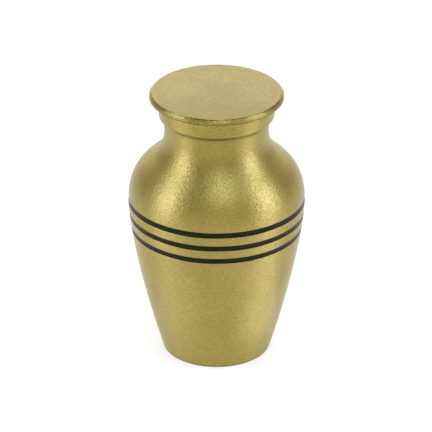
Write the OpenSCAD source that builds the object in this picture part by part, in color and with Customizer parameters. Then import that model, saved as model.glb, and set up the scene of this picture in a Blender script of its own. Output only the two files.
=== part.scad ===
// Keepsake cremation urn: a turned brass vessel with a flanged lid that plugs into its neck,
// and three rings of black enamel laid in grooves round the shoulder.
// Millimetres, +Z up, with the origin at the centre of the foot.

/* [Vessel] */
// Height of the rim, where the lid's flange seats
rim_z = 74.4; // [62:0.1:90]
// Diameter of the foot, where the wall meets the ground
foot_d = 29.1; // [24:0.1:36]
// Width of the rounding under the foot's edge
foot_round = 0.7; // [0.3:0.1:1.4]
// Diameter at the widest point
belly_d = 47.7; // [39:0.1:58]
// Height of the shoulder, from the widest point to the throat
shoulder_h = 20.4; // [17:0.1:25]
// How full the wall is below the belly: 1 is a straight cone, 2 is a parabola
wall_power = 1.45; // [1.1:0.01:2]
// How far the belly's upright direction carries up into the shoulder
shoulder_pull = 13.9; // [8:0.1:17]
// How far the throat's upright direction carries down into the shoulder
throat_pull = 9.1; // [5:0.1:12]
// Thickness of the wall, measured square to it
wall = 1.9; // [1.2:0.1:2.5]
// Thickness of the floor over the foot's recess
floor_t = 2.4; // [1.2:0.1:4]
// Rounding where the floor meets the wall inside
floor_round = 4; // [1.5:0.1:6]
// Width of the ring that the urn stands on
foot_ring_w = 3; // [2:0.1:5]
// Depth of the recess inside that ring
foot_recess = 0.5; // [0.2:0.1:1]

/* [Neck and collar] */
// Diameter of the throat, the narrowest part of the neck
throat_d = 28.1; // [23:0.1:34]
// Thickness of the neck's wall at the throat
neck_wall = 2.35; // [1.8:0.05:4]
// Length of the neck that stays as narrow as the throat
neck_l = 2.9; // [1.5:0.1:5]
// Radius of the hollow curve from the neck out to the collar
cove_r = 1.9; // [1.2:0.1:3]
// How far the collar's lower edge stands out from the throat
collar_step = 1.45; // [1.2:0.05:2.2]
// How much further out the rim is than the collar's lower edge
collar_flare = 0.35; // [0:0.05:1]
// Height of the collar
collar_h = 5.1; // [4:0.1:6.5]
// Rounding of the collar's two edges
collar_round = 0.35; // [0.1:0.05:0.6]

/* [Lid] */
// How far the lid's edge stands out past the rim
lid_overhang = 2.15; // [1:0.05:4]
// Thickness of the flange
flange_t = 1.6; // [1.2:0.1:3]
// Width of the bevel on the flange's upper edge
bevel_w = 0.55; // [0.3:0.05:1]
// Height of that bevel
bevel_h = 0.75; // [0.3:0.05:0.8]
// Rounding of the flange's edges
lid_round = 0.2; // [0.05:0.05:0.25]
// Radial clearance between the lid's plug and the bore of the neck
plug_gap = 0.1; // [0.05:0.01:0.3]
// Length of the plug below the flange
plug_l = 7.5; // [5:0.1:9]
// Thickness of the plug's wall
plug_wall = 2; // [1.2:0.1:3]
// Chamfer on the plug's lower end
plug_chamfer = 0.6; // [0.3:0.1:1]
// Thickness of the metal across the lid, inside the plug
crown_t = 2.6; // [2:0.1:4]

/* [Enamel bands] */
// Height of the middle of the top band above the widest point
band_rise = 0.7; // [-2:0.1:4]
// Distance from one band to the next
band_pitch = 3.95; // [3:0.05:5]
// Width of each band
band_w = 1.5; // [0.8:0.05:2]
// Depth of the groove that each band lies in
groove_depth = 0.5; // [0.3:0.05:0.7]
// How far the enamel lies below the metal
enamel_recess = 0.12; // [0.05:0.01:0.2]

/* [Hidden] */
BAND_NAMES = ["upper", "middle", "lower"];

CURVE_STEPS = 40;
ARC_STEPS = 8;
SMOOTH = 180;
CUT_PAST = 1;

foot_r = foot_d / 2;
belly_r = belly_d / 2;
throat_r = throat_d / 2;
bore_r = throat_r - neck_wall;
plug_r = bore_r - plug_gap;
plug_bore_r = plug_r - plug_wall;
collar_r = throat_r + collar_step;
rim_r = collar_r + collar_flare;
lid_r = rim_r + lid_overhang;

// The cove turns from upright at the throat until it reaches the collar's lower rounding.
cove_turn = acos(1 - (collar_step - collar_round) / cove_r);
cove_h = cove_r * sin(cove_turn);

collar_z = rim_z - collar_h;
throat_z = collar_z - cove_h - neck_l;
belly_z = throat_z - shoulder_h;
lid_z = rim_z + flange_t;
floor_z = foot_recess + floor_t;

// Outer radius of the wall at height z, from the foot up to the belly: a power curve, upright at the belly.
function wall_r(z) = belly_r - (belly_r - foot_r) * pow((belly_z - z) / belly_z, wall_power);

// A point at share t of the cubic curve with end points a and d and handles b and c.
function cubic(a, b, c, d, t) =
    pow(1 - t, 3) * a + 3 * t * pow(1 - t, 2) * b + 3 * t * t * (1 - t) * c + pow(t, 3) * d;

// Points [r, z] along an arc about a centre, from one angle to another.
function arc(centre, r, from, to) =
    [for (i = [0:ARC_STEPS]) let (a = from + (to - from) * i / ARC_STEPS) centre + r * [cos(a), sin(a)]];

// The outside of the wall, from the foot's rounding to the belly.
wall_curve = concat(
    [for (i = [0:CURVE_STEPS - 1])
        let (z = foot_round + (belly_z - foot_round) * i / CURVE_STEPS) [wall_r(z), z]],
    [[belly_r, belly_z]]);

// The outside from the belly to the throat, one S curve that is upright at both ends.
shoulder_curve = [for (i = [1:CURVE_STEPS])
    cubic([belly_r, belly_z], [belly_r, belly_z + shoulder_pull],
          [throat_r, throat_z - throat_pull], [throat_r, throat_z], i / CURVE_STEPS)];

side_curve = concat(wall_curve, shoulder_curve);

// A curve moved towards the axis by t, square to itself at each of its points.
function inset(curve, t) = [for (i = [0:len(curve) - 1])
    let (before = curve[max(i - 1, 0)], after = curve[min(i + 1, len(curve) - 1)],
         run = after - before)
    curve[i] + t * [-run[1], run[0]] / norm(run)];

// Outer radius of the vessel at height z, read from its curves.
function side_r(z) = lookup(z, [for (p = side_curve) [p[1], p[0]]]);

// Height of one band's middle, and the radii of its groove and of the enamel's face.
function band_z(i) = belly_z + band_rise - i * band_pitch;
function groove_r(i) = side_r(band_z(i)) - groove_depth;
function enamel_r(i) = side_r(band_z(i)) - enamel_recess;

// A ring of rectangular section, as wide as a band and centred on height z.
module band_ring(inner_r, outer_r, z) {
    translate([0, 0, z])
        difference() {
            cylinder(r = outer_r, h = band_w, center = true, $fn = SMOOTH);
            cylinder(r = inner_r, h = band_w + 2 * CUT_PAST, center = true, $fn = SMOOTH);
        }
}

// The vessel's outline from the foot's recess to the rim, as half a section.
module outer_section() {
    foot_flat_r = wall_r(foot_round) - foot_round;
    ring_inner_r = foot_flat_r - foot_ring_w;
    polygon(concat(
        [[0, foot_recess], [ring_inner_r, foot_recess], [ring_inner_r, 0]],
        arc([foot_flat_r, foot_round], foot_round, -90, 0),
        [for (i = [1:len(side_curve) - 1]) side_curve[i]],
        arc([throat_r + cove_r, collar_z - cove_h], cove_r, 180, 180 - cove_turn),
        arc([collar_r - collar_round, collar_z + collar_round], collar_round, -90, 0),
        arc([rim_r - collar_round, rim_z - collar_round], collar_round, 0, 90),
        [[0, rim_z]]));
}

// The empty space inside, as half a section: the wall's inset curve, closed by the floor and the bore.
module cavity_section() {
    inner = [for (p = inset(side_curve, wall)) if (p[1] > floor_z + floor_round && p[0] > bore_r) p];
    bore_z = inner[len(inner) - 1][1];
    polygon(concat(
        [[0, floor_z]],
        arc([inner[0][0] - floor_round, floor_z + floor_round], floor_round, -90, 0),
        inner,
        [[bore_r, bore_z], [bore_r, rim_z + CUT_PAST], [0, rim_z + CUT_PAST]]));
}

module body() {
    color("#b59b52")
        difference() {
            rotate_extrude($fn = SMOOTH) outer_section();
            rotate_extrude($fn = SMOOTH) cavity_section();
            for (i = [0:len(BAND_NAMES) - 1])
                band_ring(groove_r(i), belly_r + CUT_PAST, band_z(i));
        }
}

// The lid's half section: a flat flange with a bevelled edge, and the hollow plug under it.
module lid_section() {
    plug_end_z = rim_z - plug_l;
    crown_z = lid_z - crown_t;
    polygon(concat(
        [[0, crown_z], [plug_bore_r, crown_z], [plug_bore_r, plug_end_z],
         [plug_r - plug_chamfer, plug_end_z], [plug_r, plug_end_z + plug_chamfer], [plug_r, rim_z]],
        arc([lid_r - lid_round, rim_z + lid_round], lid_round, -90, 0),
        [[lid_r, lid_z - bevel_h]],
        arc([lid_r - bevel_w - lid_round, lid_z - lid_round], lid_round, atan2(bevel_w, bevel_h), 90),
        [[0, lid_z]]));
}

module lid() {
    color("#bca765")
        rotate_extrude($fn = SMOOTH) lid_section();
}

// One enamel ring, from the groove's floor out to just below the metal.
module enamel_band(i) {
    color("#1d1d1b")
        band_ring(groove_r(i), enamel_r(i), band_z(i));
}

body();
lid();
for (i = [0:len(BAND_NAMES) - 1])
    enamel_band(i);
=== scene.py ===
import math

import bpy
import numpy as np
from mathutils import Matrix, Vector


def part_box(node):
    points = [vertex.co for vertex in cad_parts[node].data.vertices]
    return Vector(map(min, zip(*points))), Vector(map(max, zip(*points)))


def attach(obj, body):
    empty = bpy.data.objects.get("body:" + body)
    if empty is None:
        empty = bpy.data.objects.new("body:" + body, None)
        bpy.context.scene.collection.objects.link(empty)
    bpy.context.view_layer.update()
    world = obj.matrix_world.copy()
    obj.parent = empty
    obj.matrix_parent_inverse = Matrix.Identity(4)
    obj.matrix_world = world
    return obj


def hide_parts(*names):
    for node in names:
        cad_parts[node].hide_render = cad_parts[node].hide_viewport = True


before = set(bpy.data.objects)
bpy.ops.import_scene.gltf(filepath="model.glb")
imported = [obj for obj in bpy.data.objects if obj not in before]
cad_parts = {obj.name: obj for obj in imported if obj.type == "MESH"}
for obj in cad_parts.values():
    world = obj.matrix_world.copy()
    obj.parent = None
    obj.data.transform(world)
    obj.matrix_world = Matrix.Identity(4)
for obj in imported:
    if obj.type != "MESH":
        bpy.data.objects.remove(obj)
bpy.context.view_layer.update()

# ---------------------------------------------------------------------------
# Sizes, in metres, in the part's own frame: +Z up, the foot's centre at the origin.
# Heights and greatest radii come from the frame; the rest are the part's own named sizes.
# ---------------------------------------------------------------------------
MM = 0.001


def reach(node):
    """Lowest height, highest height and greatest radius of a CAD node."""
    low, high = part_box(node)
    return low.z, high.z, high.x


PLUG_END_Z, TOP_Z, LID_R = reach("lid")
_, RIM_Z, BELLY_R = reach("body")
BANDS = ["upper_enamel_band", "middle_enamel_band", "lower_enamel_band"]

FOOT_R = 14.55 * MM
FOOT_ROUND = 0.7 * MM
FOOT_RING_W = 3.0 * MM
FOOT_RECESS = 0.5 * MM
WALL_POWER = 1.45
SHOULDER_H = 20.4 * MM
SHOULDER_PULL = 13.9 * MM
THROAT_PULL = 9.1 * MM
WALL = 1.9 * MM
FLOOR_T = 2.4 * MM
FLOOR_ROUND = 4.0 * MM
THROAT_R = 14.05 * MM
NECK_WALL = 2.35 * MM
NECK_L = 2.9 * MM
COVE_R = 1.9 * MM
COLLAR_H = 5.1 * MM
COLLAR_STEP = 1.45 * MM
COLLAR_FLARE = 0.35 * MM
COLLAR_ROUND = 0.35 * MM
GROOVE_DEPTH = 0.5 * MM
GROOVE_EDGE = 0.12 * MM
PLUG_GAP = 0.1 * MM
PLUG_WALL = 2.0 * MM
PLUG_CHAMFER = 0.6 * MM
CROWN_T = 2.6 * MM
BEVEL_W = 0.55 * MM
BEVEL_H = 0.75 * MM
LID_ROUND = 0.2 * MM
ENAMEL_PLAY = 0.01 * MM
ENAMEL_CLIMB = 0.07 * MM
ENAMEL_HOLLOW = 0.02 * MM

# The cove turns from upright at the throat until it reaches the collar's lower rounding.
COLLAR_Z = RIM_Z - COLLAR_H
COVE_TURN = math.acos(1 - (COLLAR_STEP - COLLAR_ROUND) / COVE_R)
COVE_H = COVE_R * math.sin(COVE_TURN)
THROAT_Z = COLLAR_Z - COVE_H - NECK_L
BELLY_Z = THROAT_Z - SHOULDER_H
FLOOR_Z = FOOT_RECESS + FLOOR_T
BORE_R = THROAT_R - NECK_WALL
COLLAR_R = THROAT_R + COLLAR_STEP
RIM_R = COLLAR_R + COLLAR_FLARE

# ---------------------------------------------------------------------------
# Outlines: arrays of points (radius, height), each turned round the Z axis later
# ---------------------------------------------------------------------------
STEP = 0.4 * MM
CURVE_POINTS = 400
RUN_POINTS = 600
CAVITY_EVERY = 4
ENAMEL_POINTS = 13
SEGMENTS = 224
SHARP_ANGLE = 40
FLAT_WITHIN = 0.01 * MM


def straight(start, end, step=STEP):
    """Points start + (end - start) * i / n along a straight run, n being its length over the step."""
    start, end = np.array(start), np.array(end)
    n = max(1, round(np.linalg.norm(end - start) / step))
    return start + (end - start) * np.linspace(0, 1, n + 1)[:, None]


def arc(centre, radius, begin, finish, steps=6):
    """Points centre + radius * (cos a, sin a), the angle a running from begin to finish in degrees."""
    a = np.radians(np.linspace(begin, finish, steps + 1))
    return np.array(centre) + radius * np.stack([np.cos(a), np.sin(a)], axis=1)


def wall_radius(z):
    """Radius below the belly: belly - (belly - foot) * ((belly height - z) / belly height) ** power."""
    return BELLY_R - (BELLY_R - FOOT_R) * (np.clip(BELLY_Z - z, 0, None) / BELLY_Z) ** WALL_POWER


def shoulder_points(t):
    """The cubic from the belly to the throat, upright at both ends:
    (1-t)^3 a + 3 t (1-t)^2 b + 3 t^2 (1-t) c + t^3 d, with handles b above a and c below d."""
    t = np.asarray(t)[:, None]
    a, d = np.array([BELLY_R, BELLY_Z]), np.array([THROAT_R, THROAT_Z])
    b, c = a + [0, SHOULDER_PULL], d - [0, THROAT_PULL]
    return (1 - t) ** 3 * a + 3 * t * (1 - t) ** 2 * b + 3 * t**2 * (1 - t) * c + t**3 * d


SHOULDER = shoulder_points(np.linspace(0, 1, CURVE_POINTS))


def side_radius(z):
    """Outer radius at height z: the wall's formula below the belly, the shoulder's cubic above it."""
    z = np.asarray(z, float)
    return np.where(z < BELLY_Z, wall_radius(z), np.interp(z, SHOULDER[:, 1], SHOULDER[:, 0]))


def side_run(z_low, z_high):
    """Points on the side between two heights, evenly spaced along the curve itself."""
    z = np.linspace(z_low, z_high, RUN_POINTS)
    points = np.stack([side_radius(z), z], axis=1)
    length = np.concatenate([[0], np.cumsum(np.linalg.norm(np.diff(points, axis=0), axis=1))])
    n = max(1, round(length[-1] / STEP))
    z_even = np.interp(np.linspace(0, length[-1], n + 1), length, z)
    return np.stack([side_radius(z_even), z_even], axis=1)


def groove(z_low, z_high):
    """A square groove turned into the side, its two outer edges rounded."""
    floor_r = side_radius((z_low + z_high) / 2) - GROOVE_DEPTH
    low_r, high_r = side_radius(z_low), side_radius(z_high)
    return np.concatenate([
        arc((low_r - GROOVE_EDGE, z_low - GROOVE_EDGE), GROOVE_EDGE, 0, 90),
        straight((low_r - 2 * GROOVE_EDGE, z_low), (floor_r, z_low), GROOVE_DEPTH / 3),
        straight((floor_r, z_low), (floor_r, z_high))[1:],
        straight((floor_r, z_high), (high_r - 2 * GROOVE_EDGE, z_high), GROOVE_DEPTH / 3)[1:],
        arc((high_r - GROOVE_EDGE, z_high + GROOVE_EDGE), GROOVE_EDGE, -90, 0),
    ])


def vessel_side():
    """The side from the foot's rounding to the throat, with a groove at each enamel band."""
    spans = sorted(reach(band)[:2] for band in BANDS)
    parts, z = [], FOOT_ROUND
    for low, high in spans:
        parts += [side_run(z, low - GROOVE_EDGE)[:-1], groove(low, high)]
        z = high + GROOVE_EDGE
    return np.concatenate(parts + [side_run(z, THROAT_Z)[1:]])


def cavity():
    """The inside, from the bore down to the floor's middle: the side's curve moved in by the wall."""
    z = np.linspace(THROAT_Z, FOOT_ROUND, CURVE_POINTS)
    curve = np.stack([side_radius(z), z], axis=1)
    run = np.gradient(curve, axis=0)
    inward = np.stack([run[:, 1], -run[:, 0]], axis=1)
    inner = curve + WALL * inward / np.linalg.norm(run, axis=1)[:, None]
    inner = inner[(inner[:, 0] > BORE_R) & (inner[:, 1] > FLOOR_Z + FLOOR_ROUND)][::CAVITY_EVERY]
    corner = (inner[-1, 0] - FLOOR_ROUND, FLOOR_Z + FLOOR_ROUND)
    return np.concatenate([
        straight((BORE_R, RIM_Z), (BORE_R, inner[0, 1]), 2 * STEP),
        inner,
        arc(corner, FLOOR_ROUND, 0, -90, 10),
        straight((corner[0], FLOOR_Z), (0, FLOOR_Z), 4 * STEP)[1:],
    ])


def vessel_outline():
    """The vessel's section from the middle of its underside, round the outside, and in to its floor."""
    flat_r = wall_radius(FOOT_ROUND) - FOOT_ROUND
    ring_r = flat_r - FOOT_RING_W
    return np.concatenate([
        straight((0, FOOT_RECESS), (ring_r, FOOT_RECESS), 4 * STEP),
        straight((ring_r, 0), (flat_r, 0), 2 * STEP),
        arc((flat_r, FOOT_ROUND), FOOT_ROUND, -90, 0, 8)[1:-1],
        vessel_side(),
        arc((THROAT_R + COVE_R, COLLAR_Z - COVE_H), COVE_R, 180, 180 - math.degrees(COVE_TURN), 8),
        arc((COLLAR_R - COLLAR_ROUND, COLLAR_Z + COLLAR_ROUND), COLLAR_ROUND, -90, 0)[1:],
        straight((COLLAR_R, COLLAR_Z + COLLAR_ROUND), (RIM_R, RIM_Z - COLLAR_ROUND))[1:-1],
        arc((RIM_R - COLLAR_ROUND, RIM_Z - COLLAR_ROUND), COLLAR_ROUND, 0, 90),
        straight((RIM_R - COLLAR_ROUND, RIM_Z), (BORE_R, RIM_Z), 2 * STEP)[1:-1],
        cavity(),
    ])


def lid_outline():
    """The lid's section from its hollow's middle, round the plug and the flange, to its top's middle."""
    plug_r = BORE_R - PLUG_GAP
    hollow_r = plug_r - PLUG_WALL
    crown_z = TOP_Z - CROWN_T
    top_r = LID_R - BEVEL_W - LID_ROUND
    slope = math.degrees(math.atan2(BEVEL_W, BEVEL_H))
    return np.concatenate([
        straight((0, crown_z), (hollow_r, crown_z), 4 * STEP),
        straight((hollow_r, crown_z), (hollow_r, PLUG_END_Z), 2 * STEP)[1:],
        [(plug_r - PLUG_CHAMFER, PLUG_END_Z)],
        straight((plug_r, PLUG_END_Z + PLUG_CHAMFER), (plug_r, RIM_Z), 2 * STEP),
        straight((plug_r, RIM_Z), (LID_R - LID_ROUND, RIM_Z), 2 * STEP)[1:-1],
        arc((LID_R - LID_ROUND, RIM_Z + LID_ROUND), LID_ROUND, -90, 0),
        straight((LID_R, RIM_Z + LID_ROUND), (LID_R, TOP_Z - BEVEL_H), STEP / 3)[1:],
        arc((top_r, TOP_Z - LID_ROUND), LID_ROUND, slope, 90),
        straight((top_r, TOP_Z), (0, TOP_Z), STEP / 2)[1:],
    ])


# ---------------------------------------------------------------------------
# Turning an outline into a mesh
# ---------------------------------------------------------------------------
def smooth_mesh(name, points, faces, run):
    """A mesh of smooth faces, sharp along its real corners, that carries the distance along the outline."""
    mesh = bpy.data.meshes.new(name)
    mesh.from_pydata(points.tolist(), [], faces)
    mesh.attributes.new("run", "FLOAT", "POINT").data.foreach_set("value", run.astype(np.float32))
    mesh.polygons.foreach_set("use_smooth", np.ones(len(mesh.polygons), bool))
    mesh.set_sharp_from_angle(angle=math.radians(SHARP_ANGLE))
    mesh.validate()
    piece = bpy.data.objects.new(name, mesh)
    bpy.context.scene.collection.objects.link(piece)
    return piece


def turned(name, outline, closed=False):
    """Carries an outline round the Z axis: point (r, z) at angle a becomes (r cos a, r sin a, z).
    An open outline begins and ends on the axis, where each pole is one point; a closed one is a ring."""
    length = np.concatenate([[0], np.cumsum(np.linalg.norm(np.diff(outline, axis=0), axis=1))])
    rings = outline if closed else outline[1:-1]
    a = np.arange(SEGMENTS) * 2 * math.pi / SEGMENTS
    r, z = rings[:, :1], rings[:, 1:]
    grid = np.stack([r * np.cos(a), r * np.sin(a), z + 0 * a], axis=2).reshape(-1, 3)
    run = np.repeat(length if closed else length[1:-1], SEGMENTS)
    row = np.arange(len(rings) if closed else len(rings) - 1)[:, None] * SEGMENTS
    col = np.arange(SEGMENTS)
    beside = (col + 1) % SEGMENTS
    above = (row + SEGMENTS) % len(grid)
    quads = np.stack([row + col, row + beside, above + beside, above + col], axis=2).reshape(-1, 4)
    faces = quads.tolist()
    if not closed:
        first, last = len(grid), len(grid) + 1
        end = len(grid) - SEGMENTS
        poles = [[0, 0, outline[0, 1]], [0, 0, outline[-1, 1]]]
        faces += [[first, b, c] for c, b in zip(col.tolist(), beside.tolist())]
        faces += [[last, end + c, end + b] for c, b in zip(col.tolist(), beside.tolist())]
        grid = np.concatenate([grid, poles])
        run = np.concatenate([run, [length[0], length[-1]]])
    return smooth_mesh(name, grid, faces, run)


def finish_top(mesh):
    """Gives the second material to the flat top face: every face whose middle lies at the top's height."""
    middles = np.empty(3 * len(mesh.polygons), np.float32)
    mesh.polygons.foreach_get("center", middles)
    flat_top = middles[2::3] > TOP_Z - FLAT_WITHIN
    mesh.polygons.foreach_set("material_index", flat_top.astype(np.int32))


def enamel_ring(name, node):
    """One ring of enamel, its face hollow between the groove's edges, as poured enamel dries. With x from
    -1 to 1 across it, its radius is face + lean of the wall + climb * |x|^6 - hollow * (1 - x^2)."""
    low, high, face_r = reach(node)
    inner_r = side_radius((low + high) / 2) - GROOVE_DEPTH
    low, high, inner_r = low + ENAMEL_PLAY, high - ENAMEL_PLAY, inner_r + ENAMEL_PLAY
    z = np.linspace(low, high, ENAMEL_POINTS)
    across = 2 * (z - low) / (high - low) - 1
    lean = (side_radius(high) - side_radius(low)) / 2 * across
    climb = ENAMEL_CLIMB * np.abs(across) ** 6
    face = np.stack([face_r + lean + climb - ENAMEL_HOLLOW * (1 - across**2), z], axis=1)
    back = straight((inner_r, high), (inner_r, low))
    return turned(name, np.concatenate([face, back]), closed=True)


# ---------------------------------------------------------------------------
# Shader maths
# ---------------------------------------------------------------------------
class Wire:
    """A shader socket that a number can be worked out from: each operator adds one Math node."""

    def __init__(self, finish, socket):
        self.finish, self.socket = finish, socket

    def maths(self, operation, *values):
        """The Math node of that operation, on these values."""
        return self.finish.add("ShaderNodeMath", values, operation=operation)

    def __add__(self, other):
        return self.maths("ADD", self, other)

    def __sub__(self, other):
        return self.maths("SUBTRACT", self, other)

    def __rsub__(self, other):
        return self.maths("SUBTRACT", other, self)

    def __mul__(self, other):
        return self.maths("MULTIPLY", self, other)

    def __truediv__(self, other):
        return self.maths("DIVIDE", self, other)

    def __abs__(self):
        return self.maths("ABSOLUTE", self)

    __radd__, __rmul__ = __add__, __mul__

    def smooth(self, low, high):
        """0 below low, 1 above high, and an S curve between."""
        values = {"Value": self, "From Min": low, "From Max": high}
        return self.finish.add("ShaderNodeMapRange", values, interpolation_type="SMOOTHSTEP")


class Finish:
    """One material: its tree of nodes, and the one method that adds to it."""

    def __init__(self, name):
        self.material = bpy.data.materials.new(name)
        self.material.use_nodes = True
        self.tree = self.material.node_tree
        self.tree.nodes.clear()

    def add(self, kind, values=(), out=0, **settings):
        """Adds a node: its settings first, then its sockets' values or links, by place or by name."""
        node = self.tree.nodes.new(kind)
        for key, value in settings.items():
            setattr(node, key, value)
        for key, value in values.items() if isinstance(values, dict) else enumerate(values):
            if isinstance(value, Wire):
                self.tree.links.new(value.socket, node.inputs[key])
            else:
                node.inputs[key].default_value = value
        return Wire(self, node.outputs[out])

    def place(self):
        """The point's own coordinates in the part's frame."""
        return self.add("ShaderNodeTexCoord", out="Object")

    def axis(self, i):
        """The point's own coordinate along X, Y or Z, as i is 0, 1 or 2."""
        return self.add("ShaderNodeSeparateXYZ", [self.place()], out=i)

    def run(self):
        """The distance along the turned outline."""
        return self.add("ShaderNodeAttribute", out="Fac", attribute_name="run")

    def noise(self, vector):
        """Smooth noise, from about 0.25 to 0.75, one cell to a unit of the vector."""
        values = {"Vector": vector, "Scale": 1.0, "Detail": 2.0, "Roughness": 0.5}
        return self.add("ShaderNodeTexNoise", values)

    def mix(self, share, a, b):
        """Colour a, or b as the share goes to 1."""
        return self.add("ShaderNodeMix", {0: share, 6: a, 7: b}, out=2, data_type="RGBA")

    def cells(self, size):
        """Noise in even cells of that size."""
        scaled = self.add("ShaderNodeVectorMath", [self.place(), (1 / size,) * 3], operation="MULTIPLY")
        return self.noise(scaled)

    def brushed(self, along, across):
        """Noise drawn out round the axis: cells that long round it, and that wide along the outline."""
        values = [self.axis(0) / along, self.axis(1) / along, self.run() / across]
        return self.noise(self.add("ShaderNodeCombineXYZ", values))

    def ring(self, z, width):
        """1 round the piece at height z, fading to 0 at that width above and below it."""
        return 1 - abs(self.axis(2) - z).smooth(0.3 * width, width)

    def end(self, **inputs):
        """Joins a Principled shader with these inputs to the material's output."""
        titles = [key.replace("_", " ").title().replace("Ior", "IOR") for key in inputs]
        shader = self.add("ShaderNodeBsdfPrincipled", dict(zip(titles, inputs.values())))
        surface = self.tree.nodes.new("ShaderNodeOutputMaterial").inputs["Surface"]
        self.tree.links.new(shader.socket, surface)
        return self.material


# ---------------------------------------------------------------------------
# Finishes: the brush marks' lengths round the axis and widths along the outline
# ---------------------------------------------------------------------------
DASH_L, DASH_W = 0.95 * MM, 0.35 * MM
LINE_L, LINE_W = 5 * MM, 0.3 * MM
ENAMEL_LINE_W = 0.18 * MM
SPECK = 0.4 * MM
CLOUD = 9 * MM
# The brown that the painted shade in the seams and at the edges runs to.
PAINTED_SHADE_BROWN = (0.08, 0.055, 0.012, 1)


def bump(finish, height, depth):
    """The normal of a surface whose height runs from 0 to depth."""
    return finish.add("ShaderNodeBump", {"Strength": 1.0, "Distance": depth, "Height": height})


def painted_seam_shade(f):
    """Painted shade: how far the brass is darkened in the gap under the lid, at the lid's top edge and
    bevel, under the collar and at the foot's edge, where shade falls and the edges reflect dark: a sum of
    rings, each with its share.
    """
    joint = f.ring(RIM_Z + 0.1 * MM, 0.42 * MM) * 0.66
    lid_edge = f.ring(TOP_Z - 0.15 * MM, 0.14 * MM) * 0.6
    under_collar = f.ring(COLLAR_Z - 0.5 * MM, 1.3 * MM) * 0.26
    foot_edge = f.ring(0, 0.9 * MM) * 0.5
    bevel = f.ring(TOP_Z - 0.6 * MM, 0.7 * MM) * 0.22
    return joint + lid_edge + under_collar + foot_edge + bevel


def brass(name, pale, dark, roughness, anisotropic, depth):
    """Satin brass under a thin clear lacquer: short brush dashes round the axis, finer lines, and specks,
    with brown painted shade in the seams and at the edges. Its highlights are drawn out along the outline,
    across the brushing."""
    f = Finish(name)
    dashes = f.brushed(DASH_L, DASH_W).smooth(0.3, 0.7)
    lines = f.brushed(LINE_L, LINE_W)
    specks = f.cells(SPECK).smooth(0.3, 0.7)
    clouds = f.cells(CLOUD)
    tone = f.mix(clouds.smooth(0.3, 0.7), (*pale, 1), (*(0.93 * c for c in pale), 1))
    marks = dashes * 0.47 + specks * 0.33 + lines * 0.2
    brushed = f.mix(marks.smooth(0.25, 0.75) * 0.6, tone, (*dark, 1))
    # Painted shade: the seam rings darken the colour towards brown in the gaps and at the edges that
    # reflect dark.
    colour = f.mix(painted_seam_shade(f) * (0.6 + marks), brushed, PAINTED_SHADE_BROWN)
    rough = roughness + 0.1 * specks + 0.05 * (clouds - 0.5)
    return f.end(base_color=colour, metallic=1.0, roughness=rough, anisotropic=anisotropic,
                 anisotropic_rotation=0.25, coat_weight=0.14, coat_roughness=0.22,
                 normal=bump(f, marks, depth))


def black_enamel():
    """Black enamel with faint brush lines along the band."""
    f = Finish("black_enamel")
    lines = f.brushed(LINE_L, ENAMEL_LINE_W)
    colour = f.mix(lines.smooth(0.35, 0.75), (0.003, 0.004, 0.002, 1), (0.02, 0.02, 0.012, 1))
    rough = 0.22 + 0.2 * lines.smooth(0.3, 0.7)
    return f.end(base_color=colour, roughness=rough, ior=1.2, specular_tint=(1, 1, 0.6, 1),
                 normal=bump(f, lines, 0.005 * MM))


def light_table():
    """Matt white sheet of a light table, hardly mottled, lit from below as well as from above."""
    f = Finish("light_table")
    colour = f.mix(f.cells(33 * MM), (0.45, 0.435, 0.38, 1), (0.47, 0.455, 0.4, 1))
    return f.end(base_color=colour, roughness=0.9, emission_color=(1, 1, 1, 1), emission_strength=0.6)


# ---------------------------------------------------------------------------
# Camera, light and floor
# ---------------------------------------------------------------------------
CAMERA_ELEVATION = 27.04
CAMERA_DISTANCE = 1.0
CAMERA_LENS = 307.8
AIM = (-0.173 * MM, 0, 0.511 * TOP_Z)
FLOOR_SIDE = 6.0
MIDDLE = np.array([0, 0, TOP_Z / 2])
COOL = (0.9, 0.98, 1.6)


def direction(azimuth, elevation):
    """The unit vector towards an azimuth, 0 being the camera's side and 90 its right, and an elevation."""
    a, e = math.radians(azimuth), math.radians(elevation)
    return np.array([math.sin(a) * math.cos(e), -math.cos(a) * math.cos(e), math.sin(e)])


def look(thing, azimuth, elevation, distance, target):
    """Puts a camera or light that far from the target, in that direction, facing it."""
    way = direction(azimuth, elevation)
    thing.location = np.array(target) + distance * way
    thing.rotation_euler = Vector(-way).to_track_quat("-Z", "Y").to_euler()
    bpy.context.scene.collection.objects.link(thing)


def product_camera():
    """A long lens a metre away, looking a little down on the urn."""
    lens = bpy.data.cameras.new("camera")
    lens.lens = CAMERA_LENS
    lens.clip_start = 0.05
    camera = bpy.data.objects.new("camera", lens)
    look(camera, 0, CAMERA_ELEVATION, CAMERA_DISTANCE, AIM)
    bpy.context.scene.camera = camera


def soft_light(name, width, height, radiance, tint=(1, 1, 1)):
    """A rectangular light of even radiance: its power is radiance * pi * width * height."""
    lamp = bpy.data.lights.new(name, "AREA")
    lamp.shape = "RECTANGLE"
    lamp.size, lamp.size_y = width, height
    lamp.energy = radiance * math.pi * width * height
    lamp.color = tint
    light = bpy.data.objects.new(name, lamp)
    light.visible_camera = False
    return light


def panel(name, azimuth, elevation, distance, width, height, radiance, tint=(1, 1, 1)):
    """A panel square to the line from the urn's middle."""
    look(soft_light(name, width, height, radiance, tint), azimuth, elevation, distance, MIDDLE)


def strip(name, low, high, distance, width, radiance):
    """A long narrow box whose ends lie in two directions, each an azimuth and an elevation."""
    foot, head = (MIDDLE + distance * direction(*end) for end in (low, high))
    along = (head - foot) / np.linalg.norm(head - foot)
    out = (foot + head) / 2 - MIDDLE
    out = out - along * np.dot(along, out)
    out = out / np.linalg.norm(out)
    light = soft_light(name, width, float(np.linalg.norm(head - foot)), radiance, COOL)
    light.matrix_world = Matrix(np.stack([np.cross(along, out), along, out], axis=1).tolist()).to_4x4()
    light.location = (foot + head) / 2
    bpy.context.scene.collection.objects.link(light)


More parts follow.
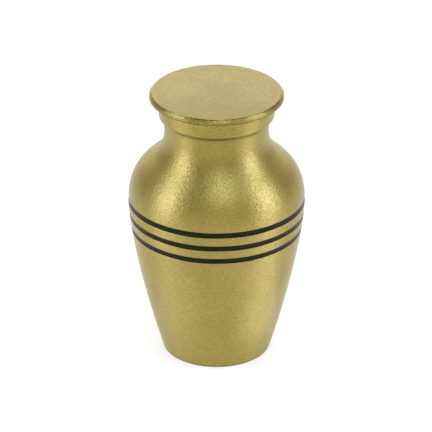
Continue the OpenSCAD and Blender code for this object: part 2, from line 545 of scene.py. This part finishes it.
def pool(name, azimuth, near, far, width, radiance):
    """A card lying on the table beside the urn, from near it to far, that throws light up at its wall."""
    light = soft_light(name, width, far - near, radiance, COOL)
    light.rotation_euler = (math.pi, 0, math.radians(azimuth))
    light.location = (0, 0, 0.5 * MM) + (near + far) / 2 * direction(azimuth, 0)
    bpy.context.scene.collection.objects.link(light)


def studio():
    """Tall strip boxes at both sides, small cards on the table and behind the urn, large panels behind,
    above and in front, and pale surroundings."""
    # Name, azimuth and elevation of each end, distance, width, radiance.
    strip("left_strip", (-66, -3), (-93, 60), 0.5, 0.2, 2.75)
    strip("right_strip", (68, -3), (88, 60), 0.5, 0.2, 3.0)
    # Name, azimuth, near edge, far edge, width, radiance.
    pool("left_pool", -58, 0.022, 0.1, 0.035, 0.22)
    pool("right_pool", 62, 0.022, 0.11, 0.035, 0.55)
    # Name, azimuth, elevation, distance, width, height, radiance, tint.
    panel("back_panel", 180, 50, 1.0, 1.4, 1.0, 0.4)
    panel("rear_card", 180, 30, 0.115, 0.16, 0.036, 1.9)
    panel("top_panel", 20, 74, 1.0, 0.45, 0.5, 2.7, (0.84, 1.05, 1.45))
    panel("front_panel", 8, 47, 1.15, 0.6, 0.55, 0.8, (0.92, 1.0, 1.1))
    world = bpy.data.worlds.new("surroundings")
    world.use_nodes = True
    world.node_tree.nodes["Background"].inputs["Color"].default_value = (0.54, 0.525, 0.47, 1)
    bpy.context.scene.world = world


def table():
    """The square sheet that the urn stands on."""
    mesh = bpy.data.meshes.new("floor")
    half = FLOOR_SIDE / 2
    corners = [(-half, -half, 0), (half, -half, 0), (half, half, 0), (-half, half, 0)]
    mesh.from_pydata(corners, [], [(0, 1, 2, 3)])
    mesh.materials.append(light_table())
    floor = bpy.data.objects.new("floor", mesh)
    bpy.context.scene.collection.objects.link(floor)


def dress(piece, materials, node):
    """Gives a piece its materials, and puts it in the place of its CAD node."""
    for material in materials:
        piece.data.materials.append(material)
    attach(piece, "root")
    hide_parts(node)


# ---------------------------------------------------------------------------
# The urn on its table
# ---------------------------------------------------------------------------
product_camera()
studio()
table()
enamel = black_enamel()
side_brass = brass("side_brass", pale=(0.425, 0.329, 0.084), dark=(0.3, 0.228, 0.05),
                   roughness=0.32, anisotropic=0.86, depth=0.066 * MM)
top_brass = brass("top_brass", pale=(0.44, 0.352, 0.12), dark=(0.31, 0.24, 0.067),
                  roughness=0.4, anisotropic=0.3, depth=0.075 * MM)
lid = turned("lid_turned", lid_outline())
finish_top(lid.data)
dress(turned("vessel", vessel_outline()), [side_brass], "body")
dress(lid, [side_brass, top_brass], "lid")
for band in BANDS:
    dress(enamel_ring(band.replace("enamel_band", "enamel_ring"), band), [enamel], band)

bpy.context.scene.view_settings.view_transform = "Standard"
